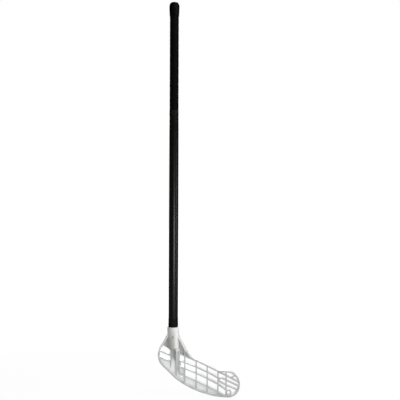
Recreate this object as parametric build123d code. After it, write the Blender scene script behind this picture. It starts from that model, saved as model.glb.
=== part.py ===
from build123d import *
import math
import os

# Floorball stick: a hollow composite shaft with a wound grip and a rubber end knob,
# screwed into the socket of a one-piece moulded blade. Millimetres.
# The model is built with heights measured up from the lowest point of the blade.
# X runs from the shaft's axis to the toe, and the hollow forehand face looks along -Y.

# Blade socket
SOCKET_RIM = 191.0
SOCKET_DEPTH = 58.0
SOCKET_WALL = 3.3
SOCKET_DRAFT = 0.5
SOCKET_LIP_RADIUS = 0.8
SOCKET_FLOOR_WALL = 6.0
SOCKET_BOTTOM_CHAMFER = 7.0

# Shaft
SHAFT_LENGTH = 955.0
SHAFT_DIAMETER = 26.2
SHAFT_END_DIAMETER = 26.0
SHAFT_MIDDLE_DIAMETER = 25.8
SHAFT_WALL = 1.5
LOWER_TAPER_LENGTH = 80.0
UPPER_TAPER_LENGTH = 225.0
SHOULDER_TAPER_LENGTH = 40.0
SEAT_SHOULDER = 1.5

# Wound grip and the tape over its lower end
GRIP_LENGTH = 276.0
GRIP_DIAMETER = 25.0
GRIP_THICKNESS = 1.0
GRIP_PITCH = 24.0
GRIP_SEAM = 0.7
GRIP_TAPE_WIDTH = 14.0
GRIP_TAPE_THICKNESS = 0.2

# End plug and rubber knob
KNOB_LENGTH = 37.5
KNOB_DIAMETER = 28.4
KNOB_TOP_DIAMETER = 21.6
KNOB_SHOULDER = 7.5
KNOB_WAIST = 14.0
KNOB_TOP_RADIUS = 5.0
KNOB_SHOULDER_RADIUS = 16.0
KNOB_WAIST_RADIUS = 60.0
KNOB_LIP = 0.5
KNOB_CROWN = 2.8
PLUG_STEM = 32.0
PLUG_WALL = 2.0
PLUG_HEAD = 3.2
PLUG_RIM = 0.8
PLUG_BEVEL = 3.0
PLUG_RIB_COUNT = 6
PLUG_RIB_WIDTH = 1.6

# Tape round the shaft above the socket
NECK_TAPE_HEIGHT = 25.0
NECK_TAPE_THICKNESS = 0.35
NECK_TAPE_LAP = 0.3
NECK_TAPE_LAP_SHARE = 0.42

# Blade screws, one on each face
SCREW_DEPTH_BELOW_RIM = 25.0
SCREW_DIAMETER = 3.5
SCREW_LENGTH = 8.0
SCREW_HEAD_DIAMETER = 6.6
SCREW_HEAD_HEIGHT = 2.2
SCREW_RECESS_DEPTH = 1.2
SCREW_CROSS_WIDTH = 1.0
SCREW_CROSS_SPAN = 3.6
SCREW_CROSS_DEPTH = 1.1
SCREW_RECESS_CLEARANCE = 0.4
SCREW_ROUND_SHARE = 0.45
SCREW_TIP_SHARE = 0.3

# Fits
SHAFT_SEAT_GAP = 0.5
SOCKET_CLEARANCE = 0.05
WRAP_CLEARANCE = 0.05
PLUG_CLEARANCE = 0.05
SCREW_CLEARANCE = 0.1

# Blade in plan: the hook, and the depth of its rim, ribs and webs
HOOK_START = 16.0
HOOK = 19.0
HEEL_DEPTH = 16.0
NECK_DEPTH = 21.0
TOE_DEPTH = 12.0
RIB_SETBACK = 1.5
WEB_THICKNESS = 2.6

# Blade in elevation: its outline
BLADE_INSET = 0.3
BLADE_DROP = 8.0
NECK_LEFT_DROP = 22.0
NECK_RIGHT_DROP = 25.0
NECK_RADIUS = 34.0
HEEL_X = -42.1
HEEL_OVERHANG = 11.1
HEEL_HEIGHT = 106.2
HEEL_RADIUS = 42.2
SOLE_CORNER_X = 56.0
TOE_X = 185.0
TOE_HEIGHT = 73.5
TOE_FACE = 2.0
SOLE_FLAT = 2.0
BACK_X = 125.0
BACK_RADIUS = 30.0
SHOULDER_X = 48.0
SHOULDER_HEIGHT = 109.5
SHOULDER_RADIUS = 40.0
RIM_WIDTH = 4.5

# Upright ribs, and the heights at which the long ribs cross them on the way to the toe
RIB_WIDTH = 3.4
CROSS_RIBS = [32.8, 64.6, 95.2, 125.0, 147.4]
TOP_RIB = [117.5, 96.5]
UPPER_RIB = [98.3, 80.6, 51.6]
MIDDLE_RIB = [81.9, 63.2, 34.4]
LOWER_RIB = [62.9, 41.8, 1.5]
TOP_RIB_OVERRUN = 2.0
TOE_TOP_RIB = [68.8, 59.7, 39.6]
TOE_BENT_RIB = [45.5, 53.0, 29.6]
TOE_BEND_X = 133.5
TOE_BEND_RADIUS = 4.0
TOE_LOW_RIB = [44.4, 33.0, 19.8]
TOE_LINK = [34.4, 19.6]
TOE_TIE = [55.2, 64.8]
TOE_TIE_SETBACKS = [24.0, 5.0]
HEEL_RIBS = [[126.6, 112.4], [108.8, 94.6]]

# Webs: thin walls that close the field between some of the ribs
WEB_STEP_X = 22.4
WEB_STEP = [80.0, 97.0]
FIRST_WEB = [56.5, 76.5]
HEEL_WINDOW = [[147.9, 127.7], [110.6, 94.6]]
PEEPHOLE_X = 24.8
PEEPHOLE_HEIGHT = 52.6
PEEPHOLE_DIAMETER = 4.8

# Deep fins that carry the socket, and the ring near the toe
LEFT_FIN_X = -6.3
LEFT_FIN_BOTTOM = 79.0
SPINE_FIN_X = 8.8
SPINE_FIN_BOTTOM = 54.0
RIGHT_FIN_X = 17.3
RIGHT_FIN_BOTTOM = 66.0
FIN_WIDTH = 3.0
FIN_FOOT_DEPTH = 10.0
FIN_INSET = 1.0
SPINE_WEB_SETBACK = 2.0
TOE_RING_SETBACK = 30.8
TOE_RING_HEIGHT = 13.2
TOE_RING_HOLE = 9.2
TOE_RING_WALL = 3.4

# Levels and radii that follow from the sizes above
SOCKET_FLOOR = SOCKET_RIM - SOCKET_DEPTH
SHAFT_BOTTOM = SOCKET_FLOOR + SHAFT_SEAT_GAP
SHAFT_TOP = SHAFT_BOTTOM + SHAFT_LENGTH
PLUG_TOP = SHAFT_TOP + PLUG_HEAD
KNOB_TOP = PLUG_TOP + WRAP_CLEARANCE + KNOB_CROWN
KNOB_BOTTOM = KNOB_TOP - KNOB_LENGTH
GRIP_BOTTOM = KNOB_BOTTOM - GRIP_LENGTH
GRIP_CENTRE = (KNOB_BOTTOM + GRIP_BOTTOM) / 2
SCREW_HEIGHT = SOCKET_RIM - SCREW_DEPTH_BELOW_RIM
SHAFT_RADIUS = SHAFT_DIAMETER / 2
END_RADIUS = SHAFT_END_DIAMETER / 2
GRIP_RADIUS = GRIP_DIAMETER / 2
SEAT_RADIUS = GRIP_RADIUS - GRIP_THICKNESS - WRAP_CLEARANCE
BORE_RADIUS = END_RADIUS + SOCKET_CLEARANCE
SOCKET_RADIUS = BORE_RADIUS + SOCKET_WALL
HOOK_LENGTH = TOE_X - HOOK_START
HOOK_RADIUS = (HOOK_LENGTH**2 + HOOK**2) / (2 * HOOK)
BLADE_TOP = SOCKET_RIM - SOCKET_LIP_RADIUS - BLADE_DROP
BLADE_REACH = NECK_DEPTH + HOOK + TOE_DEPTH
TOE_RING_X = TOE_X - TOE_RING_SETBACK


def revolved(points):
    """Turns a closed profile of (radius, height) points round the shaft's axis."""
    profile = make_face(Polyline(*points, close=True))
    return revolve(Plane.XZ * profile, Axis.Z)


def shaft_profile(inset):
    """The shaft's outline from its lower end up, moved in by the inset."""
    neck = SOCKET_RIM + NECK_TAPE_HEIGHT + NECK_TAPE_LAP
    seat_start = GRIP_BOTTOM - SEAT_SHOULDER
    taper_top = seat_start - SHOULDER_TAPER_LENGTH
    return [
        (END_RADIUS - inset, SHAFT_BOTTOM),
        (END_RADIUS - inset, neck),
        (SHAFT_RADIUS - inset, neck + LOWER_TAPER_LENGTH),
        (SHAFT_RADIUS - inset, taper_top - UPPER_TAPER_LENGTH),
        (SHAFT_MIDDLE_DIAMETER / 2 - inset, taper_top),
        (GRIP_RADIUS - inset, seat_start),
        (SEAT_RADIUS - inset, GRIP_BOTTOM),
        (SEAT_RADIUS - inset, SHAFT_TOP),
    ]


def screw_cylinder(radius, start, end):
    """A cylinder along Y at the screws' height, between two distances from the axis."""
    centre = (0, (start + end) / 2, SCREW_HEIGHT)
    return Pos(*centre) * Rot(90, 0, 0) * Cylinder(radius, abs(end - start))


def both_faces(shape):
    """A front shape and the same one turned to the back of the stick."""
    return [shape, Rot(0, 0, 180) * shape]


def make_shaft():
    outside = shaft_profile(0)
    inside = shaft_profile(SHAFT_WALL)
    tube = revolved(outside + inside[::-1])
    pilot_radius = SCREW_DIAMETER / 2 + SCREW_CLEARANCE / 2
    return tube - both_faces(screw_cylinder(pilot_radius, -SHAFT_RADIUS - 1, 0))


def make_grip_tape():
    """One strip wound round the grip seat: a sleeve cut through by its spiral seam."""
    inner = SEAT_RADIUS + WRAP_CLEARANCE
    top = SHAFT_TOP - WRAP_CLEARANCE
    low = GRIP_BOTTOM + WRAP_CLEARANCE
    sleeve = revolved([(inner, low), (GRIP_RADIUS, low), (GRIP_RADIUS, top), (inner, top)])
    turn = Helix(GRIP_PITCH, GRIP_PITCH, inner + GRIP_THICKNESS / 2)
    section = Plane(origin=turn @ 0, x_dir=(1, 0, 0), z_dir=turn % 0)
    seam = sweep(section * Rectangle(2 * GRIP_THICKNESS, GRIP_SEAM), turn, is_frenet=True)
    turns = math.ceil((top - low) / GRIP_PITCH) + 1
    start = low - GRIP_PITCH / 2
    return sleeve - [Pos(0, 0, start + GRIP_PITCH * index) * seam for index in range(turns)]


def make_grip_end_tape():
    inner = GRIP_RADIUS + WRAP_CLEARANCE
    outer = inner + GRIP_TAPE_THICKNESS
    low = GRIP_BOTTOM - SEAT_SHOULDER
    high = low + GRIP_TAPE_WIDTH
    return revolved([(inner, low), (outer, low), (outer, high), (inner, high)])


def plug_head(gap):
    """The head of the end plug in profile, or the space for it with a gap all round."""
    rim = GRIP_RADIUS + gap
    top = PLUG_TOP + gap
    return [(rim, SHAFT_TOP + PLUG_CLEARANCE + PLUG_RIM), (rim - PLUG_BEVEL, top), (0, top)]


def make_end_plug():
    """A moulded cup pushed into the open shaft, with a bevelled head over the shaft's end."""
    stem = SEAT_RADIUS - SHAFT_WALL - PLUG_CLEARANCE
    hollow = stem - PLUG_WALL
    bottom = SHAFT_TOP - PLUG_STEM
    seat = SHAFT_TOP + PLUG_CLEARANCE
    lead_in = PLUG_WALL / 2
    roof = PLUG_TOP - PLUG_WALL
    stem_side = [(hollow, bottom), (stem - lead_in, bottom), (stem, bottom + lead_in), (stem, seat)]
    shell = revolved(stem_side + [(GRIP_RADIUS, seat)] + plug_head(0) + [(0, roof), (hollow, roof)])
    outwards = (Align.MIN, Align.CENTER, Align.MIN)
    rib_height = roof + PLUG_WALL / 2 - bottom
    rib = Pos(0, 0, bottom) * Box(hollow + PLUG_WALL / 2, PLUG_RIB_WIDTH, rib_height, align=outwards)
    step = 360 / PLUG_RIB_COUNT
    return shell + [Rot(0, 0, step * index) * rib for index in range(PLUG_RIB_COUNT)]


def make_end_knob():
    """A domed rubber cap pulled over the plug and the top of the grip."""
    inner = GRIP_RADIUS + WRAP_CLEARANCE
    widest = KNOB_DIAMETER / 2
    side = FilletPolyline(
        (0, KNOB_TOP),
        (KNOB_TOP_DIAMETER / 2, KNOB_TOP),
        (widest, KNOB_TOP - KNOB_SHOULDER),
        (widest, KNOB_TOP - KNOB_WAIST),
        (inner + KNOB_LIP, KNOB_BOTTOM),
        radius=[KNOB_TOP_RADIUS, KNOB_SHOULDER_RADIUS, KNOB_WAIST_RADIUS],
    )
    rest = Polyline((inner + KNOB_LIP, KNOB_BOTTOM), (0, KNOB_BOTTOM), (0, KNOB_TOP))
    outside = revolve(Plane.XZ * make_face(side + rest), Axis.Z)
    return outside - revolved([(0, KNOB_BOTTOM), (inner, KNOB_BOTTOM)] + plug_head(WRAP_CLEARANCE))


def make_neck_tape():
    """Tape wound on the shaft above the socket, thicker where it laps at the rim."""
    inner = END_RADIUS + WRAP_CLEARANCE
    single = inner + NECK_TAPE_THICKNESS
    double = single + NECK_TAPE_LAP
    low = SOCKET_RIM + WRAP_CLEARANCE
    lap = low + NECK_TAPE_HEIGHT * NECK_TAPE_LAP_SHARE
    high = low + NECK_TAPE_HEIGHT
    return revolved(
        [
            (inner, low),
            (double, low),
            (double, lap - NECK_TAPE_LAP),
            (single, lap),
            (single, high),
            (inner, high),
        ]
    )


def make_screw():
    """One pan-head screw in the front face, its tip inside the hollow shaft."""
    seat = SOCKET_RADIUS - SCREW_RECESS_DEPTH
    head_face = seat + SCREW_HEAD_HEIGHT
    head = screw_cylinder(SCREW_HEAD_DIAMETER / 2, -seat, -head_face)
    crown = head.edges().group_by(Axis.Y)[0]
    head = chamfer(crown, SCREW_HEAD_HEIGHT * SCREW_ROUND_SHARE)
    shank = screw_cylinder(SCREW_DIAMETER / 2, SCREW_LENGTH - seat, -seat)
    tip = shank.edges().group_by(Axis.Y)[-1]
    shank = chamfer(tip, SCREW_DIAMETER * SCREW_TIP_SHARE)
    cross = [
        Pos(0, -head_face, SCREW_HEIGHT) * Box(span, 2 * SCREW_CROSS_DEPTH, width)
        for span, width in [(SCREW_CROSS_SPAN, SCREW_CROSS_WIDTH), (SCREW_CROSS_WIDTH, SCREW_CROSS_SPAN)]
    ]
    return head + shank - cross


def make_screws():
    """The two screws, one from each face."""
    return Part() + both_faces(make_screw())


def blade_outline():
    """The blade's outline in elevation: straight runs joined by tangent arcs."""
    side = SOCKET_RADIUS - BLADE_INSET
    heel = (HEEL_X - HEEL_OVERHANG, HEEL_HEIGHT)
    toe_radius = (TOE_HEIGHT - TOE_FACE) / 2
    sole_turn = math.atan2(HEEL_HEIGHT, SOLE_CORNER_X - heel[0])
    sole_run = TOE_X - toe_radius - SOLE_FLAT - SOLE_CORNER_X
    sole_radius = sole_run / math.tan(sole_turn / 2)
    path = FilletPolyline(
        (-side, BLADE_TOP),
        (-side, SOCKET_RIM - NECK_LEFT_DROP),
        heel,
        (SOLE_CORNER_X, 0),
        (TOE_X, 0),
        (TOE_X, TOE_HEIGHT),
        (BACK_X, TOE_HEIGHT),
        (SHOULDER_X, SHOULDER_HEIGHT),
        (side, SOCKET_RIM - NECK_RIGHT_DROP),
        (side, BLADE_TOP),
        radius=[
            NECK_RADIUS,
            HEEL_RADIUS,
            sole_radius,
            toe_radius,
            toe_radius,
            BACK_RADIUS,
            SHOULDER_RADIUS,
            NECK_RADIUS,
        ],
    )
    return make_face(path + Line((side, BLADE_TOP), (-side, BLADE_TOP)))


def hook_offset(x):
    """How far the blade's middle surface stands forward of the shaft's axis."""
    if x <= HOOK_START:
        return 0.0
    return HOOK_RADIUS - math.sqrt(HOOK_RADIUS**2 - (x - HOOK_START) ** 2)


def plan_edge(side, depths):
    """One face of the blade in plan: straight at the heel, then an arc to the toe."""
    heel, neck, toe = depths
    far = TOE_X + RIM_WIDTH
    middle = (HOOK_START + far) / 2
    start = (HOOK_START, side * neck / 2)
    through = (middle, side * (neck + toe) / 4 - hook_offset(middle))
    end = (far, side * toe / 2 - hook_offset(far))
    return [(HEEL_X - RIM_WIDTH, side * heel / 2), start, through, end]


def blade_slab(heel, neck, toe):
    """The upright slab between the two faces of the blade, which follows its hook."""
    front = plan_edge(-1, (heel, neck, toe))
    back = plan_edge(1, (heel, neck, toe))
    plan = make_face(
        [
            Line(front[0], front[1]),
            ThreePointArc(*front[1:]),
            Line(front[3], back[3]),
            ThreePointArc(*back[:0:-1]),
            Line(back[1], back[0]),
            Line(back[0], front[0]),
        ]
    )
    return Pos(0, 0, -RIM_WIDTH) * extrude(plan, SOCKET_RIM + RIM_WIDTH)


def through_blade(face):
    """A drawing of the blade in elevation, pulled right through its depth."""
    return extrude(Plane.XZ * face, BLADE_REACH, both=True)


def rib(*points, bend=None):
    """A rib along two points, an arc through three, or a bent line with a bend radius."""
    if len(points) == 2:
        line = Line(*points)
        turned = Rot(0, 0, line.tangent_angle_at(0)) * Rectangle(line.length, RIB_WIDTH)
        return Pos(*(line @ 0.5)) * turned
    line = ThreePointArc(*points) if bend is None else FilletPolyline(*points, radius=bend)
    return SlotArc(Wire(line.edges()), RIB_WIDTH)


def crossing(places, heights):
    """The points of a rib at the given places along the blade."""
    return list(zip(places, heights, strict=True))


def lattice_ribs():
    """Every rib of the blade in elevation, from the socket to the toe."""
    second, fourth, fifth = CROSS_RIBS[1], CROSS_RIBS[3], CROSS_RIBS[4]
    toe = TOE_X + RIM_WIDTH / 2
    tie = [TOE_X - setback for setback in TOE_TIE_SETBACKS]
    ribs = [rib((x, -RIM_WIDTH), (x, SHOULDER_HEIGHT + NECK_RADIUS)) for x in CROSS_RIBS]
    ribs += [
        rib(*crossing([RIGHT_FIN_X, second + TOP_RIB_OVERRUN], TOP_RIB)),
        rib(*crossing([RIGHT_FIN_X, second, fourth], UPPER_RIB)),
        rib(*crossing([RIGHT_FIN_X, second, fourth], MIDDLE_RIB)),
        rib(*crossing([RIGHT_FIN_X, second, fifth], LOWER_RIB)),
        rib(*crossing([fourth, fifth, toe], TOE_TOP_RIB)),
        rib(*crossing([fourth, TOE_BEND_X, toe], TOE_BENT_RIB), bend=TOE_BEND_RADIUS),
        rib(*crossing([fourth, fifth, toe], TOE_LOW_RIB)),
        rib(*crossing([fourth, fifth], TOE_LINK)),
        rib(*crossing(tie, TOE_TIE)),
    ]
    ribs += [rib(*crossing([HEEL_X, LEFT_FIN_X], heights)) for heights in HEEL_RIBS]
    return ribs + [Pos(TOE_RING_X, TOE_RING_HEIGHT) * Circle(TOE_RING_HOLE / 2 + TOE_RING_WALL)]


def region(*points):
    return make_face(Polyline(*points, close=True))


def open_regions():
    """The parts of the blade in elevation that no web closes."""
    first, second, fifth = CROSS_RIBS[0], CROSS_RIBS[1], CROSS_RIBS[4]
    overrun = second + TOP_RIB_OVERRUN
    above = SHOULDER_HEIGHT + NECK_RADIUS
    below = -RIM_WIDTH
    beyond = TOE_X + RIM_WIDTH
    lattice = region(
        (RIGHT_FIN_X, TOP_RIB[0]),
        (overrun, TOP_RIB[1]),
        (overrun, above),
        (beyond, above),
        (beyond, below),
        (fifth, below),
        (fifth, LOWER_RIB[2]),
        (second, LOWER_RIB[1]),
        (first, FIRST_WEB[0]),
        (first, FIRST_WEB[1]),
        (WEB_STEP_X, WEB_STEP[0]),
        (WEB_STEP_X, WEB_STEP[1]),
        (RIGHT_FIN_X, UPPER_RIB[0]),
    )
    (outer_top, inner_top), (outer_bottom, inner_bottom) = HEEL_WINDOW
    outer = HEEL_X - RIM_WIDTH
    heel = region(
        (outer, outer_top), (LEFT_FIN_X, inner_top), (LEFT_FIN_X, inner_bottom), (outer, outer_bottom)
    )
    peephole = Pos(PEEPHOLE_X, PEEPHOLE_HEIGHT) * Circle(PEEPHOLE_DIAMETER / 2)
    return [lattice, heel, peephole]


def fin(start, end, foot, setback=0.0):
    """A deep rib below the socket, which thins from the socket's width to its foot."""
    nearest = min(abs(start), abs(end))
    chord = 2 * math.sqrt(max(SOCKET_RADIUS**2 - nearest**2, 0))
    top = SOCKET_FLOOR - FIN_INSET
    top_half = max(chord - FIN_INSET, NECK_DEPTH) / 2 - setback
    foot_half = FIN_FOOT_DEPTH / 2 - setback
    side = region((-top_half, top), (-foot_half, foot), (foot_half, foot), (top_half, top))
    return Pos(start, 0, 0) * extrude(Plane.YZ * side, end - start)


def spine_fins():
    """The three fins that carry the socket down into the blade, and the web of the spine."""
    half = FIN_WIDTH / 2
    places = [
        (LEFT_FIN_X, LEFT_FIN_BOTTOM),
        (SPINE_FIN_X, SPINE_FIN_BOTTOM),
        (RIGHT_FIN_X, RIGHT_FIN_BOTTOM),
    ]
    fins = [fin(x - half, x + half, foot) for x, foot in places]
    return fins + [fin(SPINE_FIN_X, RIGHT_FIN_X, RIGHT_FIN_BOTTOM, SPINE_WEB_SETBACK)]


def socket_tube():
    """The socket's outside, drafted from its base to its rim and bevelled below."""
    base = SOCKET_FLOOR - SOCKET_FLOOR_WALL
    lip = SOCKET_LIP_RADIUS
    return revolved(
        [
            (0, base),
            (SOCKET_RADIUS + SOCKET_DRAFT - SOCKET_BOTTOM_CHAMFER, base),
            (SOCKET_RADIUS + SOCKET_DRAFT, base + SOCKET_BOTTOM_CHAMFER),
            (SOCKET_RADIUS, SOCKET_RIM - lip),
            (SOCKET_RADIUS - lip, SOCKET_RIM),
            (0, SOCKET_RIM),
        ]
    )


def socket_cuts():
    """The bore for the shaft, and a hole and a recess for the screw in each face."""
    bore = Pos(0, 0, SOCKET_FLOOR) * Cylinder(
        BORE_RADIUS, SOCKET_DEPTH + 1, align=(Align.CENTER, Align.CENTER, Align.MIN)
    )
    outside = SOCKET_RADIUS + SOCKET_DRAFT + 1
    hole = screw_cylinder(SCREW_DIAMETER / 2 + SCREW_CLEARANCE, -outside, 0)
    recess_radius = SCREW_HEAD_DIAMETER / 2 + SCREW_RECESS_CLEARANCE
    recess = screw_cylinder(recess_radius, SCREW_RECESS_DEPTH - SOCKET_RADIUS, -outside)
    return [bore] + both_faces(hole) + both_faces(recess)


def moved_in(face, distance):
    """The face with its outline moved in, its arcs and straight runs kept."""
    return offset(face, -distance, kind=Kind.TANGENT)


def make_blade():
    """The moulding: rim, ribs and webs cut from curved slabs, and the socket above."""
    depths = (HEEL_DEPTH, NECK_DEPTH, TOE_DEPTH)
    outline = blade_outline()
    rim_middle = moved_in(outline, RIM_WIDTH / 2)
    rim = outline - moved_in(outline, RIM_WIDTH)
    web = rim_middle - open_regions()
    rib_slab = blade_slab(*[depth - 2 * RIB_SETBACK for depth in depths])
    body = through_blade(rim) & blade_slab(*depths)
    body += through_blade(web) & blade_slab(WEB_THICKNESS, WEB_THICKNESS, WEB_THICKNESS)
    for face in lattice_ribs():
        body += through_blade(face & rim_middle) & rib_slab
    body += spine_fins()
    body += socket_tube()
    ring_hole = Pos(TOE_RING_X, TOE_RING_HEIGHT) * Circle(TOE_RING_HOLE / 2)
    return body - socket_cuts() - through_blade(ring_hole)


def least_seam_gap():
    """The grip strip's least gap to itself, measured between points on its two edges."""
    steps = 720
    radius = SEAT_RADIUS + WRAP_CLEARANCE
    lower = (0.0, 0.0, 0.0)
    gaps = []
    for step in range(-steps, steps + 1):
        turn = 2 * math.pi * step / steps / 4
        height = GRIP_SEAM + GRIP_PITCH * turn / (2 * math.pi)
        upper = (radius * math.cos(turn) - radius, radius * math.sin(turn), height)
        gaps.append(math.dist(lower, upper))
    return min(gaps)


PARTS = {
    "shaft": make_shaft,
    "grip_tape": make_grip_tape,
    "grip_end_tape": make_grip_end_tape,
    "end_plug": make_end_plug,
    "end_knob": make_end_knob,
    "neck_tape": make_neck_tape,
    "blade": make_blade,
    "blade_screws": make_screws,
}

os.makedirs("parts", exist_ok=True)
for name, make in PARTS.items():
    export_step(Pos(0, 0, -GRIP_CENTRE) * make(), f"parts/{name}.step")
print(f"grip turns {(SHAFT_TOP - GRIP_BOTTOM) / GRIP_PITCH:.1f}, seam gap {least_seam_gap():.2f} mm")
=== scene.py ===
"""A floorball stick on a plain studio floor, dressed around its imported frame.

The stick stands upright on its blade. Z runs up the shaft, X from the shaft's axis to the
blade's toe, and the hollow forehand face looks along -Y. Everything is in metres.
"""

import logging
import math
from abc import ABC, abstractmethod
from collections.abc import Sequence
from dataclasses import dataclass
from enum import Enum
from typing import NamedTuple

import bmesh
import bpy
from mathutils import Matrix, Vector, noise


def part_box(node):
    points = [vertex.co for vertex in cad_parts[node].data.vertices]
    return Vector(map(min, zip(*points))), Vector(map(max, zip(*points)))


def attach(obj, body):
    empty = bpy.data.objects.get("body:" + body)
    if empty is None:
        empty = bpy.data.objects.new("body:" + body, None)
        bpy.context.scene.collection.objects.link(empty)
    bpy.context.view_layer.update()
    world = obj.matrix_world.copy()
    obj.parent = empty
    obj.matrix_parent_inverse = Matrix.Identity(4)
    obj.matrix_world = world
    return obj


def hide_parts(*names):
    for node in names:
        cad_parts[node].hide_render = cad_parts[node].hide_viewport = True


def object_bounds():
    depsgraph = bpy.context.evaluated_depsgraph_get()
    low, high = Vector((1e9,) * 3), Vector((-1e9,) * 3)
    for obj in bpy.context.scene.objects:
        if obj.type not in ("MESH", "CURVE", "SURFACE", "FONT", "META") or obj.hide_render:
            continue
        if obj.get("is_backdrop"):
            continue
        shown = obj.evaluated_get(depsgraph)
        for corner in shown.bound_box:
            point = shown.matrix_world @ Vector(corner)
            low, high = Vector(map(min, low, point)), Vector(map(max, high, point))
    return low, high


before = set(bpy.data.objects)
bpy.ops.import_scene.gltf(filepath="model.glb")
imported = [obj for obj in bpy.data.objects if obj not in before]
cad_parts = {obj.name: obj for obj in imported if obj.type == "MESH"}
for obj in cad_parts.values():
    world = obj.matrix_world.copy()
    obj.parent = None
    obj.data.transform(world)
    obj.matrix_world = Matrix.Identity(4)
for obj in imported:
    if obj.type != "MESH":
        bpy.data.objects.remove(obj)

log = logging.getLogger("floorball_stick")

MM = 0.001
FULL_TURN = 2 * math.pi
ORIGIN = (0.0, 0.0, 0.0)
WELD = 0.002 * MM

Colour = tuple[float, float, float, float]
Point = tuple[float, float]
Span = tuple[float, float]


class Grain(NamedTuple):
    """A noise: its features in each metre and its octaves of detail."""

    scale: float
    octaves: float


class Relief(NamedTuple):
    """A bump: what a height of 1 stands for in metres, and how strongly it shows."""

    depth: float
    strength: float


class Slot(Enum):
    """The record's material slot names; a tape band keeps one, but its finish is made directly.
    """

    GRIP = "grip"
    FINISHING_TAPE = "finishing_tape"
    KNOB = "knob"
    NECK_TAPE = "neck_tape"
    BLADE = "blade"


class Mesh:
    """Small helpers for modelling a piece with operators."""

    @staticmethod
    def deselect() -> None:
        """Leaves nothing selected in object mode."""
        bpy.ops.object.select_all(action="DESELECT")

    @staticmethod
    def only(piece: bpy.types.Object) -> None:
        """Selects one object and makes it the active one."""
        Mesh.deselect()
        piece.select_set(True)
        bpy.context.view_layer.objects.active = piece

    @staticmethod
    def edit_all(piece: bpy.types.Object) -> None:
        """Enters edit mode on one piece with all of it selected."""
        Mesh.only(piece)
        bpy.ops.object.mode_set(mode="EDIT")
        bpy.ops.mesh.select_mode(type="VERT")
        bpy.ops.mesh.select_all(action="SELECT")

    @staticmethod
    def leave() -> None:
        """Goes back to object mode."""
        bpy.ops.object.mode_set(mode="OBJECT")

    @staticmethod
    def settle(piece: bpy.types.Object) -> None:
        """Puts the piece's transform into its mesh."""
        Mesh.only(piece)
        bpy.ops.object.transform_apply(location=True, rotation=True, scale=True)

    @staticmethod
    def finish(piece: bpy.types.Object, name: str, angle: float = 40.0) -> None:
        """Applies the transform, smooths the piece and names it.

        Args:
            piece: the finished mesh object.
            name: the name it gets.
            angle: edges sharper than this many degrees stay sharp.
        """
        Mesh.settle(piece)
        bpy.ops.object.shade_smooth_by_angle(angle=math.radians(angle))
        piece.name = name
        piece.data.name = name
        Mesh.deselect()

    @staticmethod
    def apply_all(piece: bpy.types.Object) -> None:
        """Applies every modifier of the piece, in order."""
        Mesh.only(piece)
        for modifier in list(piece.modifiers):
            bpy.ops.object.modifier_apply(modifier=modifier.name)

    @staticmethod
    def face_out(piece: bpy.types.Object) -> None:
        """Merges doubles and turns every face of a closed mesh outwards."""
        Mesh.edit_all(piece)
        bpy.ops.mesh.remove_doubles(threshold=WELD)
        bpy.ops.mesh.normals_make_consistent(inside=False)
        if bmesh.from_edit_mesh(piece.data).calc_volume(signed=True) < 0:
            bpy.ops.mesh.flip_normals()
        Mesh.leave()

    @staticmethod
    def draw_in(place: Vector, share: float) -> None:
        """Moves a point towards the shaft's axis by a share of its distance from it."""
        place.x *= 1 - share
        place.y *= 1 - share

    @staticmethod
    def lathe(profile: Sequence[Point], steps: int) -> bpy.types.Object:
        """Extrudes rings along a profile round Z and closes them into a solid.

        Args:
            profile: (radius, height) of each ring, round the whole section.
            steps: vertices in each ring.

        Returns:
            The mesh object, with its faces outwards.
        """
        (radius, height), *others = profile
        Mesh.deselect()
        bpy.ops.mesh.primitive_circle_add(vertices=steps, radius=radius, location=(0, 0, height))
        ring = bpy.context.object
        Mesh.edit_all(ring)
        for next_radius, next_height in others:
            rise = {"value": (0, 0, next_height - height)}
            bpy.ops.mesh.extrude_region_move(TRANSFORM_OT_translate=rise)
            share = next_radius / radius
            level = (0, 0, next_height)
            bpy.ops.transform.resize(value=(share, share, 1), center_override=level)
            radius, height = next_radius, next_height
        Mesh.leave()
        Mesh.settle(ring)
        Mesh.face_out(ring)
        return ring


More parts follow.
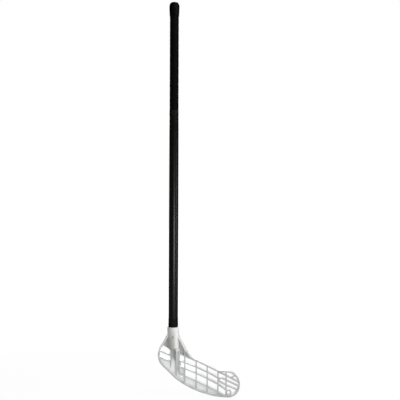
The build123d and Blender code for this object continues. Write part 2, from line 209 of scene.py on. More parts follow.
class Term:
    """A number on its way through a material's nodes, with arithmetic on it."""

    def __init__(self, shader: "Shader", socket: bpy.types.NodeSocket) -> None:
        """Wraps an output socket of the shader's tree."""
        self.shader = shader
        self.socket = socket

    def maths(self, operation: str, *inputs: object) -> "Term":
        """Adds a Math node.

        Args:
            operation: the node's operation, such as MULTIPLY.
            inputs: terms or numbers for its sockets.

        Returns:
            The node's value.
        """
        return self.shader.node("ShaderNodeMath", {"operation": operation}, *inputs)

    def __add__(self, other: object) -> "Term":
        """Sum."""
        return self.maths("ADD", self, other)

    __radd__ = __add__

    def __mul__(self, other: object) -> "Term":
        """Product."""
        return self.maths("MULTIPLY", self, other)

    __rmul__ = __mul__

    def __sub__(self, other: object) -> "Term":
        """Difference."""
        return self.maths("SUBTRACT", self, other)

    def __rsub__(self, other: object) -> "Term":
        """Difference from a number."""
        return self.maths("SUBTRACT", other, self)

    def __truediv__(self, other: object) -> "Term":
        """Quotient."""
        return self.maths("DIVIDE", self, other)

    def __mod__(self, other: float) -> "Term":
        """Distance past the last whole multiple, always positive."""
        return self.maths("FLOORED_MODULO", self, other)

    def __pow__(self, other: float) -> "Term":
        """Power."""
        return self.maths("POWER", self, other)

    def __abs__(self) -> "Term":
        """Size without sign."""
        return self.maths("ABSOLUTE", self)

    def sine(self) -> "Term":
        """Sine of an angle in radians."""
        return self.maths("SINE", self)

    def angle_from(self, along: "Term") -> "Term":
        """Angle in radians of a point that is this far sideways and so far along."""
        return self.maths("ARCTAN2", self, along)

    def above(self, other: object) -> "Term":
        """The larger of two numbers."""
        return self.maths("MAXIMUM", self, other)

    def rises(self, low: float, high: float) -> "Term":
        """A smooth step from 0 at low to 1 at high."""
        settings = {"interpolation_type": "SMOOTHSTEP"}
        return self.shader.node("ShaderNodeMapRange", settings, self, low, high)

    def falls(self, low: float, high: float) -> "Term":
        """A smooth step from 1 at low to 0 at high."""
        return 1 - self.rises(low, high)

    def between(self, low: float, high: float) -> "Term":
        """A share from 0 to 1 as a number from low to high."""
        return self * (high - low) + low

    def mixed(self, other: "Term", share: float) -> "Term":
        """This number with a share of another in it."""
        return self * (1 - share) + other * share


class Shader:
    """A new material: a Principled surface and the nodes that feed it."""

    def __init__(self, name: str) -> None:
        """Makes the material with its default Principled node.

        Args:
            name: the material's name.
        """
        self.material = bpy.data.materials.new(name)
        self.material.use_nodes = True
        self.tree = self.material.node_tree
        self.surface = self.tree.nodes["Principled BSDF"]
        self.output = self.tree.nodes["Material Output"]
        self.place = self.raw("ShaderNodeTexCoord").outputs["Object"]

    @classmethod
    def of_world(cls, world: bpy.types.World) -> "Shader":
        """Wraps a world's node tree."""
        shader = cls.__new__(cls)
        shader.tree = world.node_tree
        return shader

    def raw(self, kind: str, settings: dict[str, object] | None = None) -> bpy.types.Node:
        """Adds a node of a type with its settings made."""
        node = self.tree.nodes.new(kind)
        for key, value in (settings or {}).items():
            setattr(node, key, value)
        return node

    def node(self, kind: str, settings: dict[str, object], *inputs: object) -> Term:
        """Adds a node and feeds its sockets in order.

        Args:
            kind: the node's type.
            settings: the node's own properties, set first.
            inputs: for each socket a term, a socket or a plain value.

        Returns:
            The first output.
        """
        node = self.raw(kind, settings)
        sockets = [socket for socket in node.inputs if socket.enabled]
        for socket, value in zip(sockets, inputs):
            self.feed(socket, value)
        return Term(self, next(socket for socket in node.outputs if socket.enabled))

    def feed(self, socket: bpy.types.NodeSocket, value: object) -> None:
        """Links a term or socket to an input, or sets a plain value on it."""
        if isinstance(value, Term):
            value = value.socket
        if isinstance(value, bpy.types.NodeSocket):
            self.tree.links.new(value, socket)
        else:
            socket.default_value = value

    def split(self, vector: bpy.types.NodeSocket) -> tuple[Term, Term, Term]:
        """X, Y and Z of a vector."""
        parts = self.raw("ShaderNodeSeparateXYZ")
        self.feed(parts.inputs[0], vector)
        return tuple(Term(self, output) for output in parts.outputs)

    def axes(self) -> tuple[Term, Term, Term]:
        """X, Y and Z of the point on the object, in metres."""
        return self.split(self.place)

    def noise(self, grain: Grain) -> Term:
        """Noise between 0 and 1 on the object's own coordinates."""
        return self.node("ShaderNodeTexNoise", {}, self.place, *grain)

    def streaks(self, along: tuple[float, float, float], octaves: float) -> Term:
        """Noise between 0 and 1 that is drawn out.

        Args:
            along: features in each metre along X, Y and Z.
            octaves: octaves of detail.

        Returns:
            The noise value.
        """
        mapping = self.raw("ShaderNodeMapping")
        self.feed(mapping.inputs["Vector"], self.place)
        self.feed(mapping.inputs["Scale"], along)
        return self.node("ShaderNodeTexNoise", {}, mapping.outputs["Vector"], 1.0, octaves)

    def blend(self, share: Term, low: object, high: object) -> Term:
        """A colour between two, by a share from 0 to 1."""
        node = self.raw("ShaderNodeMix", {"data_type": "RGBA"})
        for name, value in (("Factor", share), ("A", low), ("B", high)):
            socket = next(s for s in node.inputs if s.enabled and s.name == name)
            self.feed(socket, value)
        return Term(self, next(s for s in node.outputs if s.enabled))

    def bump(self, height: Term, relief: Relief) -> None:
        """Feeds the surface's normal from a height of 0 to 1."""
        node = self.raw("ShaderNodeBump")
        self.feed(node.inputs["Height"], height)
        node.inputs["Distance"].default_value = relief.depth
        node.inputs["Strength"].default_value = relief.strength
        self.feed(self.surface.inputs["Normal"], node.outputs["Normal"])

    def cover(self, share: Term, kind: str, **values: object) -> None:
        """Mixes a second shader over the surface.

        Args:
            share: how much of the second one shows, 0 to 1.
            kind: its node's type.
            values: plain values of its sockets.
        """
        second = self.raw(kind)
        for name, value in values.items():
            second.inputs[name].default_value = value
        mix = self.raw("ShaderNodeMixShader")
        layers = (share, self.surface.outputs[0], second.outputs[0])
        for socket, value in zip(mix.inputs, layers):
            self.feed(socket, value)
        self.feed(self.output.inputs["Surface"], mix.outputs[0])

    def matte_rim(self, rim: Colour, span: Span = (0.16, 0.46)) -> None:
        """Takes the gloss away where the surface turns from the eye, as a dull skin does.

        Args:
            rim: colour of the dull skin.
            span: facing weights where the gloss begins to go and where none is left.
        """
        weight = self.raw("ShaderNodeLayerWeight")
        turned = Term(self, weight.outputs["Facing"]).rises(*span)
        self.cover(turned, "ShaderNodeBsdfDiffuse", Color=rim)

    def set(self, **values: object) -> None:
        """Feeds Principled sockets, named with underscores for spaces."""
        for key, value in values.items():
            self.feed(self.surface.inputs[key.replace("_", " ")], value)


def colour(red: float, green: float, blue: float) -> Colour:
    """An opaque colour from linear values."""
    return (red, green, blue, 1.0)


class Finish(ABC):
    """A surface that can be made into a material."""

    @abstractmethod
    def material(self) -> bpy.types.Material:
        """Builds the material."""


@dataclass(frozen=True, kw_only=True)
class BlackFinish(Finish):
    """What the black surfaces share: two tones, a low gloss, fine relief and a dull rim.

    The contrast is the span of the mottling over which the low tone turns to the high one.
    """

    name: str
    low: Colour
    high: Colour
    contrast: Span
    roughness: Span
    specular: float
    relief: Relief

    def dressed(self, shader: Shader, tone: Term, wear: Term, height: Term) -> bpy.types.Material:
        """Feeds the surface.

        Args:
            shader: the material's nodes.
            tone: mottling between the two tones, 0 to 1.
            wear: place between the two roughnesses, 0 to 1.
            height: height of the relief, 0 to 1.

        Returns:
            The material.
        """
        shader.set(
            Base_Color=shader.blend(tone.rises(*self.contrast), self.low, self.high),
            Roughness=wear.between(*self.roughness),
            Specular_IOR_Level=self.specular,
        )
        shader.bump(height, self.relief)
        shader.matte_rim(self.low)
        return shader.material


@dataclass(frozen=True, kw_only=True)
class TubeFinish(BlackFinish):
    """Satin black composite tube: fine fibre streaks under a thin clear film."""

    name: str = "tube_satin_black"
    low: Colour = colour(0.0020, 0.0019, 0.0016)
    high: Colour = colour(0.0044, 0.0040, 0.0034)
    contrast: Span = (0.3, 0.7)
    roughness: Span = (0.24, 0.32)
    specular: float = 0.18
    relief: Relief = Relief(0.02 * MM, 0.35)
    fibres: tuple[float, float, float] = (1400.0, 1400.0, 22.0)
    fibre_octaves: float = 3.0
    fibre_share: float = 0.6
    clouds: Grain = Grain(55.0, 3.0)

    def material(self) -> bpy.types.Material:
        """Builds the material."""
        shader = Shader(self.name)
        fibres = shader.streaks(self.fibres, self.fibre_octaves)
        clouds = shader.noise(self.clouds)
        return self.dressed(shader, clouds.mixed(fibres, self.fibre_share), clouds, fibres)


@dataclass(frozen=True, kw_only=True)
class GripFinish(BlackFinish):
    """Soft black grip strip with rows of small breathing holes.

    The pitch is the height of one turn of the strip, and the radius is its outer one. The
    margin is the plain share of the width beside each edge.
    """

    pitch: float
    radius: float
    name: str = "grip_soft_black"
    low: Colour = colour(0.0016, 0.0016, 0.0015)
    high: Colour = colour(0.0040, 0.0039, 0.0036)
    contrast: Span = (0.25, 0.8)
    roughness: Span = (0.62, 0.82)
    specular: float = 0.035
    relief: Relief = Relief(0.25 * MM, 0.8)
    holes_round: int = 20
    rows: int = 6
    hole: Span = (0.385 * MM, 0.66 * MM)
    margin: Span = (0.06, 0.14)
    grain: Grain = Grain(2600.0, 3.0)
    grain_share: float = 0.2
    grain_height: float = 0.25
    wear: Grain = Grain(38.0, 4.0)

    def material(self) -> bpy.types.Material:
        """Builds the material, with the holes laid out along the wound strip."""
        shader = Shader(self.name)
        x, y, z = shader.axes()
        turn = y.angle_from(x) / FULL_TURN
        across = (z / self.pitch - turn) % 1.0
        hole_gap = FULL_TURN * self.radius / self.holes_round
        along_hole = ((turn * self.holes_round) % 1.0 - 0.5) * hole_gap
        across_hole = ((across * self.rows) % 1.0 - 0.5) * (self.pitch / self.rows)
        distance = (along_hole * along_hole + across_hole * across_hole) ** 0.5
        start, end = self.margin
        middle = across.rises(start, end) * across.falls(1 - end, 1 - start)
        grain = shader.noise(self.grain)
        worn = shader.noise(self.wear)
        height = grain * self.grain_height - distance.falls(*self.hole) * middle
        return self.dressed(shader, worn.mixed(grain, self.grain_share), worn, height)


@dataclass(frozen=True, kw_only=True)
class RubberFinish(BlackFinish):
    """Matte black rubber with a fine grain and rubbed high places."""

    low: Colour = colour(0.0008, 0.0008, 0.0008)
    high: Colour = colour(0.0034, 0.0034, 0.0032)
    contrast: Span = (0.35, 0.75)
    roughness: Span = (0.34, 0.56)
    specular: float = 0.06
    relief: Relief = Relief(0.08 * MM, 0.6)
    grain: Grain = Grain(3200.0, 2.0)
    rubs: Grain = Grain(120.0, 4.0)
    rub_share: float = 0.7

    def material(self) -> bpy.types.Material:
        """Builds the material."""
        shader = Shader(self.name)
        grain = shader.noise(self.grain)
        rubbed = shader.noise(self.rubs)
        return self.dressed(shader, rubbed, rubbed, grain.mixed(rubbed, self.rub_share))


@dataclass(frozen=True, kw_only=True)
class ClothTapeFinish(BlackFinish):
    """Black cloth tape: a fine weave, with lint and a dull sheen.

    The radius is the tape's own, and the threads are counted in each metre.
    """

    radius: float
    threads: float
    low: Colour = colour(0.0018, 0.0018, 0.0015)
    high: Colour = colour(0.0130, 0.0130, 0.0105)
    contrast: Span = (0.25, 0.8)
    roughness: Span = (0.72, 0.92)
    specular: float = 0.12
    relief: Relief = Relief(0.12 * MM, 0.7)
    lint: Grain = Grain(420.0, 4.0)
    lint_tone: float = 0.6
    lint_height: float = 0.4

    def material(self) -> bpy.types.Material:
        """Builds the material, with the weave laid round the shaft."""
        shader = Shader(self.name)
        x, y, z = shader.axes()
        around = y.angle_from(x) * self.radius
        warp, weft = ((way * self.threads * math.pi).sine() for way in (around, z))
        weave = abs(warp * weft)
        lint = shader.noise(self.lint)
        tone = weave.mixed(lint, self.lint_tone)
        return self.dressed(shader, tone, lint, weave.mixed(lint, self.lint_height))


@dataclass(frozen=True)
class BladeFinish(Finish):
    """Translucent natural white plastic, bright where thin, with painted shade.

    The ribs' front faces are painted grey, for faces the lamps reach less than the rib tops. The
    recessed neck webs and the socket's left front are painted a darker olive grey, for their
    shade;
    at the socket a little of it is the black shaft inside showing through. Heights are above the
    blade's lowest point, and depths are from its curved middle. Each span is where a zone fades
    in or out.
    """

    name: str = "blade_natural_white"
    hook_start: float = 16 * MM
    hook_radius: float = 761.1 * MM
    origin_height: float = 919.05 * MM
    skin: Colour = colour(0.84, 0.842, 0.842)
    cloud: Colour = colour(0.86, 0.862, 0.864)
    # Painted shade: the grey that the ribs' front faces take, for faces the lamps reach less than
    # the rib tops.
    edge: Colour = colour(0.60, 0.605, 0.605)
    # Painted shade: the darker olive grey of the recessed neck webs and of the socket's left
    # front.
    painted_shade: Colour = colour(0.50, 0.505, 0.465)
    contrast: Span = (0.3, 0.7)
    thin: float = 0.58
    thick: float = 0.06
    facing: Span = (0.6, 0.95)
    lattice_top: Span = (122 * MM, 128 * MM)
    rib_depth: Span = (2.5 * MM, 4.0 * MM)
    web_depth: Span = (1.8 * MM, 2.6 * MM)
    neck_height: Span = (92 * MM, 108 * MM)
    neck_slope: float = 0.25
    socket_height: Span = (140 * MM, 200 * MM)
    socket_side: Span = (2 * MM, 10 * MM)
    socket_depth: Span = (8 * MM, 11 * MM)
    specular: float = 0.45
    roughness: Span = (0.34, 0.46)
    clouds: Grain = Grain(30.0, 3.0)
    grain: Grain = Grain(1500.0, 2.0)
    relief: Relief = Relief(0.03 * MM, 0.4)

    def material(self) -> bpy.types.Material:
        """Builds the material."""
        shader = Shader(self.name)
        x, y, z = shader.axes()
        up = z + self.origin_height
        past = (x - self.hook_start).above(0.0)
        depth = abs(y - ((self.hook_radius**2 - past * past) ** 0.5 - self.hook_radius))
        normal = shader.split(shader.raw("ShaderNodeTexCoord").outputs["Normal"])
        facing = abs(normal[1]).rises(*self.facing)
        # Painted shade: the front faces of the deep ribs below the lattice top turn grey.
        rib_face_shade = facing * depth.rises(*self.rib_depth) * up.falls(*self.lattice_top)
        web = depth.falls(*self.web_depth)
        # Painted shade: the recessed neck webs, facing front, turn olive grey as if shadowed by
        # the rims around them.
        neck_web_shade = web * (up + x * self.neck_slope).rises(*self.neck_height) * facing
        # Painted shade on the socket's left front, the side turned from the lamps; a little of it
        # is the black shaft inside showing through the plastic.
        socket_left_shade = x.falls(*self.socket_side) * depth.rises(*self.socket_depth)
        socket = up.falls(*self.socket_height) * up.rises(*self.lattice_top) * socket_left_shade
        clouds = shader.noise(self.clouds)
        plain = shader.blend(clouds.rises(*self.contrast), self.skin, self.cloud)
        rib_shaded = shader.blend(rib_face_shade, plain, self.edge)
        # Base Color takes the painted shade over the plain plastic here.
        shader.set(
            Base_Color=shader.blend(neck_web_shade.above(socket), rib_shaded, self.painted_shade),
            Roughness=clouds.between(*self.roughness),
            Specular_IOR_Level=self.specular,
        )
        shader.bump(shader.noise(self.grain), self.relief)
        through = web * (1 - neck_web_shade) * self.thin + self.thick
        shader.cover(through, "ShaderNodeBsdfTranslucent", Color=self.skin)
        return shader.material


@dataclass(frozen=True)
class SteelFinish(Finish):
    """Zinc-plated screw steel, brushed round by the driver."""

    name: str = "screw_steel"
    low: Colour = colour(0.46, 0.46, 0.48)
    high: Colour = colour(0.62, 0.62, 0.64)
    metallic: float = 0.45
    roughness: Span = (0.32, 0.50)
    marks: tuple[float, float, float] = (2600.0, 400.0, 2600.0)
    mark_octaves: float = 2.0
    relief: Relief = Relief(0.02 * MM, 0.5)

    def material(self) -> bpy.types.Material:
        """Builds the material."""
        shader = Shader(self.name)
        marks = shader.streaks(self.marks, self.mark_octaves)
        shader.set(
            Base_Color=shader.blend(marks, self.low, self.high),
            Roughness=marks.between(*self.roughness),
            Metallic=self.metallic,
        )
        shader.bump(marks, self.relief)
        return shader.material


def rounded(points: Sequence[Point], radii: Sequence[float], steps: int) -> list[Point]:
    """Rounds the inner corners of an open profile with tangent arcs.

    Args:
        points: (radius, height) of each corner.
        radii: a radius for each inner corner.
        steps: steps along each arc.

    Returns:
        The profile's points.
    """
    path = [Vector(point) for point in points]
    result = [path[0]]
    for before, corner, after, radius in zip(path, path[1:], path[2:], radii):
        back = (before - corner).normalized()
        ahead = (after - corner).normalized()
        half = back.angle(ahead) / 2
        reach = radius / math.tan(half)
        centre = corner + (back + ahead).normalized() * (radius / math.sin(half))
        first = (corner + back * reach - centre).normalized()
        last = (corner + ahead * reach - centre).normalized()
        for step in range(steps + 1):
            result.append(centre + first.slerp(last, step / steps) * radius)
    return [tuple(point) for point in result + [path[-1]]]


def divided(points: Sequence[Point], longest: float) -> list[Point]:
    """Adds points to a profile so that no run is longer than a given length."""
    path = [points[0]]
    for start, end in zip(points, points[1:]):
        count = max(1, math.ceil(math.dist(start, end) / longest))
        for index in range(1, count + 1):
            share = index / count
            path.append(tuple(a + (b - a) * share for a, b in zip(start, end)))
    return path


def hand_over(piece: bpy.types.Object, node: str, finish: Finish) -> None:
    """Gives a piece its finish and lets it stand for a node.

    Args:
        piece: the finished piece.
        node: the CAD node that it replaces.
        finish: the finish.
    """
    piece.data.materials.clear()
    piece.data.materials.append(finish.material())
    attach(piece, "root")
    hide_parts(node)
    log.info("built %s: %d faces", piece.name, len(piece.data.polygons))


@dataclass
class EndKnob:
    """The domed rubber cap over the grip's top, with slanting pressed folds.

    The folds turn by some degrees from the lip to the crown. They fade in over the lowest
    share of the height and out over the highest one.
    """

    lip: float = 0.5 * MM
    clearance: float = 0.05 * MM
    pole: float = 0.0005 * MM
    top_radius: float = 10.8 * MM
    shoulder: float = 7.5 * MM
    waist: float = 14.0 * MM
    skirt_flare: float = 0.35 * MM
    skirt_height: float = 3.0 * MM
    corner_radii: tuple[float, ...] = (5.0 * MM, 16.0 * MM, 60.0 * MM, 3.0 * MM, 0.2 * MM)
    arc_steps: int = 8
    longest_run: float = 0.8 * MM
    roof_thickness: float = 2.6 * MM
    roof_bevel: float = 3.0 * MM
    folds: int = 7
    fold_depth: float = 0.35 * MM
    fold_turn: float = 124.0
    fold_wander: float = 1.5
    wander_scale: float = 90.0
    fold_start: float = 0.12
    fold_end: float = 0.25
    inside_margin: float = 0.2 * MM
    inside_top: float = 0.9
    steps: int = 120
    smooth_angle: float = 50.0

    def build(self) -> None:
        """Builds the knob in place of its CAD node."""
        low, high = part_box("end_knob")
        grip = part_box("end_plug")[1].x + self.clearance
        knob = Mesh.lathe(self.profile(low.z, high.z, high.x, grip), self.steps)
        self.fold(knob, low.z, high.z, grip)
        Mesh.finish(knob, "end_knob_rubber", self.smooth_angle)
        hand_over(knob, "end_knob", RubberFinish(name="knob_rubber"))

    def profile(self, low: float, high: float, widest: float, grip: float) -> list[Point]:
        """Rings from the crown down the outside and up the inside.

        Args:
            low: height of the lip.
            high: height of the crown.
            widest: the knob's largest radius.
            grip: radius of its inside.

        Returns:
            (radius, height) of each ring.
        """
        corners_outside = [
            (self.pole, high),
            (self.top_radius, high),
            (widest, high - self.shoulder),
            (widest, high - self.waist),
            (grip + self.lip + self.skirt_flare, low + self.skirt_height),
            (grip + self.lip, low),
            (grip, low),
        ]
        outside = rounded(corners_outside, self.corner_radii, self.arc_steps)
        roof = high - self.roof_thickness
        inside = [(grip, roof - self.roof_bevel), (grip - self.roof_bevel, roof)]
        return divided(outside, self.longest_run) + inside + [(self.pole, roof)]

    def fold(self, knob: bpy.types.Object, low: float, high: float, grip: float) -> None:
        """Presses the slanting folds into the outside, never past its first outline."""
        for vertex in knob.data.vertices:
            place = vertex.co
            radius = math.hypot(place.x, place.y)
            rise = (place.z - low) / (high - low)
            if radius < grip + self.inside_margin and rise < self.inside_top:
                continue
            turn = math.atan2(place.y, place.x) + math.radians(self.fold_turn) * rise
            wander = self.fold_wander * noise.noise(place * self.wander_scale)
            wave = 0.5 + 0.5 * math.sin(self.folds * turn + wander)
            fade_in = min(1.0, rise / self.fold_start)
            fade_out = min(1.0, max(0.0, (1 - rise) / self.fold_end))
            depth = self.fold_depth * wave**3 * fade_in * fade_out
            Mesh.draw_in(place, depth / max(radius, grip))


@dataclass
class GripStrip:
    """One soft strip wound round the seat, crowned across its width.

    The edges are drawn down and in by a high power of the distance from the middle, so that
    only they are rounded. The winding starts some turns below the seat and is cut level.
    """

    pitch: float = 24.0 * MM
    seam: float = 0.02 * MM
    inner: float = 11.55 * MM
    outer: float = 12.5 * MM
    cuts: int = 5
    edge_drop: float = 0.30 * MM
    edge_pull: float = 0.18 * MM
    edge_power: int = 8
    turns_below: float = 1.013
    turns_spare: int = 2
    steps_each_turn: int = 60
    smooth_angle: float = 50.0

    def build(self) -> None:
        """Builds the strip in place of its CAD node."""
        low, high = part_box("grip_tape")
        turns = math.ceil((high.z - low.z) / self.pitch) + self.turns_spare
        Mesh.deselect()
        bpy.ops.mesh.primitive_plane_add(size=1.0, rotation=(math.radians(90), 0, 0))
        strip = bpy.context.object
        self.shape_section(strip, low.z - self.turns_below * self.pitch)
        self.wind(strip, turns)
        self.trim(strip, low.z, high.z)
        Mesh.face_out(strip)
        Mesh.finish(strip, "grip_strip", self.smooth_angle)
        finish = GripFinish(pitch=self.pitch, radius=self.outer)
        hand_over(strip, "grip_tape", finish)

    def shape_section(self, strip: bpy.types.Object, start: float) -> None:
        """Sizes the section, divides it across and crowns its outer side.

        Args:
            strip: a plane of one metre.
            start: height of the section's middle.
        """
        depth = self.outer - self.inner
        width = self.pitch - self.seam
        middle = ((self.outer + self.inner) / 2, 0, start)
        Mesh.settle(strip)
        Mesh.edit_all(strip)
        bpy.ops.transform.resize(value=(depth, 1, width), center_override=ORIGIN)
        bpy.ops.transform.translate(value=middle)
        bpy.ops.mesh.subdivide(number_cuts=self.cuts)
        bpy.ops.mesh.dissolve_faces()
        Mesh.leave()
        for vertex in strip.data.vertices:
            across = 2 * (vertex.co.z - start) / width
            share = (vertex.co.x - self.inner) / depth * abs(across) ** self.edge_power
            vertex.co.x -= share * self.edge_drop
            vertex.co.z -= share * self.edge_pull * across

    def wind(self, strip: bpy.types.Object, turns: int) -> None:
        """Screws the section up the seat."""
        screw = strip.modifiers.new("wind", "SCREW")
        screw.axis = "Z"
        screw.angle = FULL_TURN
        screw.screw_offset = self.pitch
        screw.iterations = turns
        screw.steps = self.steps_each_turn
        screw.render_steps = self.steps_each_turn
        Mesh.apply_all(strip)

    def trim(self, strip: bpy.types.Object, low: float, high: float) -> None:
        """Cuts the ends level and closes them."""
        for level, side in ((low, {"clear_inner": True}), (high, {"clear_outer": True})):
            Mesh.edit_all(strip)
            plane = {"plane_co": (0, 0, level), "plane_no": (0, 0, 1)}
            bpy.ops.mesh.bisect(use_fill=True, **plane, **side)
            Mesh.leave()


@dataclass
class TapeBand:
    """A band of cloth tape round the tube, with soft ragged edges and thicker laps.

    The laps are rings round the whole section, each a radius and a share of the height. The
    outside is drawn in by up to the rough depth, and the threads are counted in each metre.
    """

    name: str
    node: str
    slot: Slot
    laps: Sequence[Point]
    rough: float
    threads: float
    longest_run: float = 0.9 * MM
    smooth_share: float = 0.2
    stretch: float = 2.5
    rough_scale: float = 420.0
    steps: int = 96
    smooth_angle: float = 60.0

    def build(self) -> None:
        """Builds the band in place of its CAD node."""
        low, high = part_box(self.node)
        height = high.z - low.z
        rings = [(radius, low.z + share * height) for radius, share in self.laps]
        section = divided(rings, self.longest_run)
        band = Mesh.lathe(section + [section[0]], self.steps)
        self.roughen(band, high.x)
        Mesh.finish(band, self.name, self.smooth_angle)
        finish = ClothTapeFinish(name=self.name, radius=high.x, threads=self.threads)
        hand_over(band, self.node, finish)

    def roughen(self, band: bpy.types.Object, outer: float) -> None:
        """Draws the outside in by small uneven amounts, so that it looks wound by hand."""
        inner = min(radius for radius, share in self.laps)
        for vertex in band.data.vertices:
            place = vertex.co
            radius = math.hypot(place.x, place.y)
            share = (radius - inner) / (outer - inner)
            if share < self.smooth_share:
                continue
            point = Vector((place.x, place.y, place.z * self.stretch)) * self.rough_scale
            uneven = 0.5 + 0.5 * noise.noise(point)
            Mesh.draw_in(place, self.rough * share * uneven / radius)


@dataclass
class MouldedBlade:
    """The blade's moulding with the small edge radii that the mould leaves.

    Faces within the flat angle are one face, and edges past the sharp angle are rounded.
    """

    edge_radius: float = 0.55 * MM
    edge_segments: int = 2
    flat_angle: float = 4.0
    sharp_angle: float = 40.0
    smooth_angle: float = 35.0
    last_weld: float = 0.001 * MM
    flat_weight: int = 100

    def build(self) -> None:
        """Builds the blade in place of its CAD node."""
        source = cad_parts["blade"]
        blade = bpy.data.objects.new("blade_moulding", source.data.copy())
        bpy.context.scene.collection.objects.link(blade)
        self.clean(blade)
        self.round_edges(blade)
        Mesh.finish(blade, "blade_moulding", self.smooth_angle)
        self.keep_flats(blade)
        hand_over(blade, "blade", BladeFinish())

    def clean(self, blade: bpy.types.Object) -> None:
        """Merges the copy's loose triangles and dissolves the flat ones together."""
        Mesh.edit_all(blade)
        bpy.ops.mesh.remove_doubles(threshold=WELD)
        bpy.ops.mesh.dissolve_limited(angle_limit=math.radians(self.flat_angle))
        Mesh.leave()

    def round_edges(self, blade: bpy.types.Object) -> None:
        """Rounds the sharp edges and merges what the radii close up."""
        bevel = blade.modifiers.new("edge radius", "BEVEL")
        bevel.width = self.edge_radius
        bevel.segments = self.edge_segments
        bevel.limit_method = "ANGLE"
        bevel.angle_limit = math.radians(self.sharp_angle)
        bevel.use_clamp_overlap = True
        Mesh.apply_all(blade)
        Mesh.edit_all(blade)
        bpy.ops.mesh.remove_doubles(threshold=self.last_weld)
        Mesh.leave()

    def keep_flats(self, blade: bpy.types.Object) -> None:
        """Weights the normals by face area, so that flats stay flat beside their radii."""
        weighted = blade.modifiers.new("flats", "WEIGHTED_NORMAL")
        weighted.keep_sharp = True
        weighted.weight = self.flat_weight
        Mesh.apply_all(blade)
        Mesh.deselect()


@dataclass
class Stick:
    """The whole stick, from the blade up."""

    neck_inner: float = 13.05 * MM
    neck_single: float = 13.40 * MM
    neck_lifted: float = 13.50 * MM
    neck_double: float = 13.68 * MM
    end_inner: float = 12.53 * MM
    end_edge: float = 12.66 * MM
    end_outer: float = 12.74 * MM

    def build(self) -> None:
        """Builds the modelled pieces and dresses the nodes that stay."""
        for piece in (MouldedBlade(), self.neck_tape(), self.end_tape(), GripStrip(), EndKnob()):
            piece.build()
        self.dress_nodes()

    def neck_tape(self) -> TapeBand:
        """Rough cloth tape above the socket, with a thick lap near its lower end."""
        laps = [
            (self.neck_inner, 0.0),
            (self.neck_single, 0.0),
            (self.neck_lifted, 0.12),
            (self.neck_double, 0.16),
            (self.neck_double, 0.40),
            (self.neck_single, 0.43),
            (self.neck_single, 0.99),
            (self.neck_inner, 1.0),
        ]
        return TapeBand(
            name="neck_cloth_tape",
            node="neck_tape",
            slot=Slot.NECK_TAPE,
            laps=laps,
            rough=0.22 * MM,
            threads=2200.0,
        )

    def end_tape(self) -> TapeBand:
        """Thin finishing tape over the grip strip's lower edge."""
        laps = [
            (self.end_inner, 0.0),
            (self.end_edge, 0.0),
            (self.end_outer, 0.03),
            (self.end_outer, 0.97),
            (self.end_edge, 1.0),
            (self.end_inner, 1.0),
        ]
        return TapeBand(
            name="grip_finishing_tape",
            node="grip_end_tape",
            slot=Slot.FINISHING_TAPE,
            laps=laps,
            rough=0.06 * MM,
            threads=3000.0,
        )

    def dress_nodes(self) -> None:
        """Gives each carried-over node its material."""
        finishes: dict[str, Finish] = {
            "shaft": TubeFinish(),
            "end_plug": RubberFinish(name="plug_plastic"),
            "blade_screws": SteelFinish(),
        }
        for node, finish in finishes.items():
            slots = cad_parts[node].data.materials
            slots.clear()
            slots.append(finish.material())
            log.info("dressed %s", node)


@dataclass(frozen=True)
class Softbox:
    """A rectangular lamp that faces the stick.

    The azimuth is in degrees from the front towards the toe. Heights are above the floor,
    and the aim is the height on the shaft's axis that the lamp looks at.
    """

    name: str
    azimuth: float
    distance: float
    height: float
    size: tuple[float, float]
    radiance: float
    aim: float

    def build(self, floor_level: float) -> None:
        """Adds the lamp.

        Args:
            floor_level: height of the floor in the row frame.
        """
        turn = math.radians(self.azimuth)
        side = math.sin(turn) * self.distance
        ahead = -math.cos(turn) * self.distance
        place = Vector((side, ahead, floor_level + self.height))
        aim = Vector((0, 0, floor_level + self.aim))
        data = bpy.data.lights.new(self.name, "AREA")
        data.shape = "RECTANGLE"
        data.size, data.size_y = self.size
        data.energy = self.radiance * math.pi * self.size[0] * self.size[1]
        light = bpy.data.objects.new(self.name, data)
        light.location = place
        light.rotation_euler = (aim - place).to_track_quat("-Z", "Y").to_euler()
        bpy.context.scene.collection.objects.link(light)
        log.info("lamp %s", self.name)


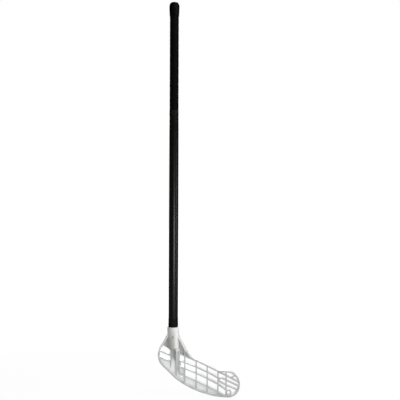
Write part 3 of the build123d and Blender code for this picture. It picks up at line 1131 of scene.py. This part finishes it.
@dataclass
class Studio:
    """Floor, surroundings, lamps and camera.

    The surroundings are white behind the stick and dim in front of it, as in a studio
    whose lit backdrop is behind the object. The floor turns white over a span of Y, and the
    sky over a span of its direction's Y. The stick's shadow fades over its reach.
    """

    floor_level: float
    half_floor: float = 9.0
    floor_albedo: float = 0.42
    floor_tint: float = 1.02
    floor_grain: Grain = Grain(900.0, 3.0)
    floor_roughness: float = 0.85
    floor_specular: float = 0.1
    floor_white: float = 1.08
    floor_shadow: float = 0.13
    floor_turn: Span = (-0.4, 0.5)
    sky_turn: Span = (-0.15, 0.5)
    shadow_reach: Span = (0.5, 1.6)
    ambient: float = 0.17
    front_level: float = 0.12
    focal_pixels: float = 575.0
    image_pixels: float = 400.0
    sensor: float = 36.0
    camera_side: float = 0.0734
    camera_distance: float = 1.605
    camera_height: float = 0.5447
    camera_roll: float = 0.22

    def build(self) -> None:
        """Builds the whole studio."""
        self.build_floor()
        self.build_world()
        for lamp in self.lamps():
            lamp.build(self.floor_level)
        self.build_camera()

    def lamps(self) -> list[Softbox]:
        """A low front box, a narrow side box, a large box high on the right, one behind."""
        return [
            Softbox("front_box", 21.0, 1.7, 0.30, (0.95, 0.26), radiance=18.0, aim=0.45),
            Softbox("side_box", 78.0, 1.6, 0.42, (0.26, 0.70), radiance=7.5, aim=0.45),
            Softbox("top_box", 62.0, 1.25, 1.95, (1.5, 1.5), radiance=3.1, aim=0.15),
            Softbox("back_box", 180.0, 2.0, 1.0, (1.2, 1.4), radiance=7.5, aim=0.3),
        ]

    def white_rays(self, shader: Shader, behind: Term) -> tuple[Term, Term]:
        """Finds the rays that meet the surroundings as white.

        Args:
            shader: the tree that the nodes go into.
            behind: 0 in front of the stick, 1 behind it.

        Returns:
            How white the ray finds the place, and whether the ray is a glossy one.
        """
        path = shader.raw("ShaderNodeLightPath")
        names = ("Is Camera Ray", "Is Glossy Ray", "Is Transmission Ray")
        camera, glossy, through = (Term(shader, path.outputs[name]) for name in names)
        mirrored = glossy * behind.between(self.front_level, 1)
        return camera.above(through).above(mirrored), glossy

    def build_floor(self) -> None:
        """A wide plain floor at the blade's lowest point."""
        centre = (0, 0, self.floor_level)
        Mesh.deselect()
        bpy.ops.mesh.primitive_plane_add(size=2 * self.half_floor, location=centre)
        floor = bpy.context.object
        Mesh.finish(floor, "studio_floor")
        floor.data.materials.append(self.floor_finish())
        floor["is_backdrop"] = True

    def floor_finish(self) -> bpy.types.Material:
        """Pale paper that the camera sees as white, apart from the stick's shadow."""
        shader = Shader("studio_paper")
        x, y, z = shader.axes()
        white, glossy = self.white_rays(shader, y.rises(*self.floor_turn))
        near = ((x * x + y * y) ** 0.5).falls(*self.shadow_reach)
        paper = self.floor_albedo
        plain = colour(paper, paper, paper)
        tinted = colour(paper, paper, paper * self.floor_tint)
        shader.set(
            Base_Color=shader.blend(shader.noise(self.floor_grain), plain, tinted),
            Roughness=self.floor_roughness,
            Specular_IOR_Level=self.floor_specular,
        )
        share = white * (1 - near * self.floor_shadow)
        shader.cover(share, "ShaderNodeEmission", Strength=self.floor_white)
        return shader.material

    def build_world(self) -> None:
        """White to the camera and behind the stick, dim for the light that falls on it."""
        world = bpy.data.worlds.new("studio_world")
        bpy.context.scene.world = world
        world.use_nodes = True
        shader = Shader.of_world(world)
        direction = shader.split(shader.raw("ShaderNodeTexCoord").outputs["Generated"])
        white, glossy = self.white_rays(shader, direction[1].rises(*self.sky_turn))
        background = world.node_tree.nodes["Background"]
        background.inputs["Color"].default_value = colour(1.0, 1.0, 1.0)
        level = white.above((1 - glossy) * self.ambient)
        shader.feed(background.inputs["Strength"], level)

    def build_camera(self) -> None:
        """The camera at the photograph's viewing angle."""
        data = bpy.data.cameras.new("camera")
        data.sensor_width = self.sensor
        data.lens = self.sensor * self.focal_pixels / self.image_pixels
        camera = bpy.data.objects.new("camera", data)
        height = self.floor_level + self.camera_height
        camera.location = (self.camera_side, -self.camera_distance, height)
        camera.rotation_euler = (math.radians(90), math.radians(-self.camera_roll), 0)
        bpy.context.scene.collection.objects.link(camera)
        bpy.context.scene.camera = camera


def corners(bounds: tuple[Vector, Vector]) -> list[list[float]]:
    """Lowest and highest corner as plain lists."""
    return [[float(value) for value in corner] for corner in bounds]


def main() -> None:
    """Builds the stick's pieces in order, then the studio."""
    logging.basicConfig(level=logging.INFO, format="%(name)s: %(message)s")
    cad = corners(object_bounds())
    bpy.context.scene.view_settings.view_transform = "Standard"
    Stick().build()
    Studio(floor_level=cad[0][2]).build()


if __name__ == "__main__":
    main()
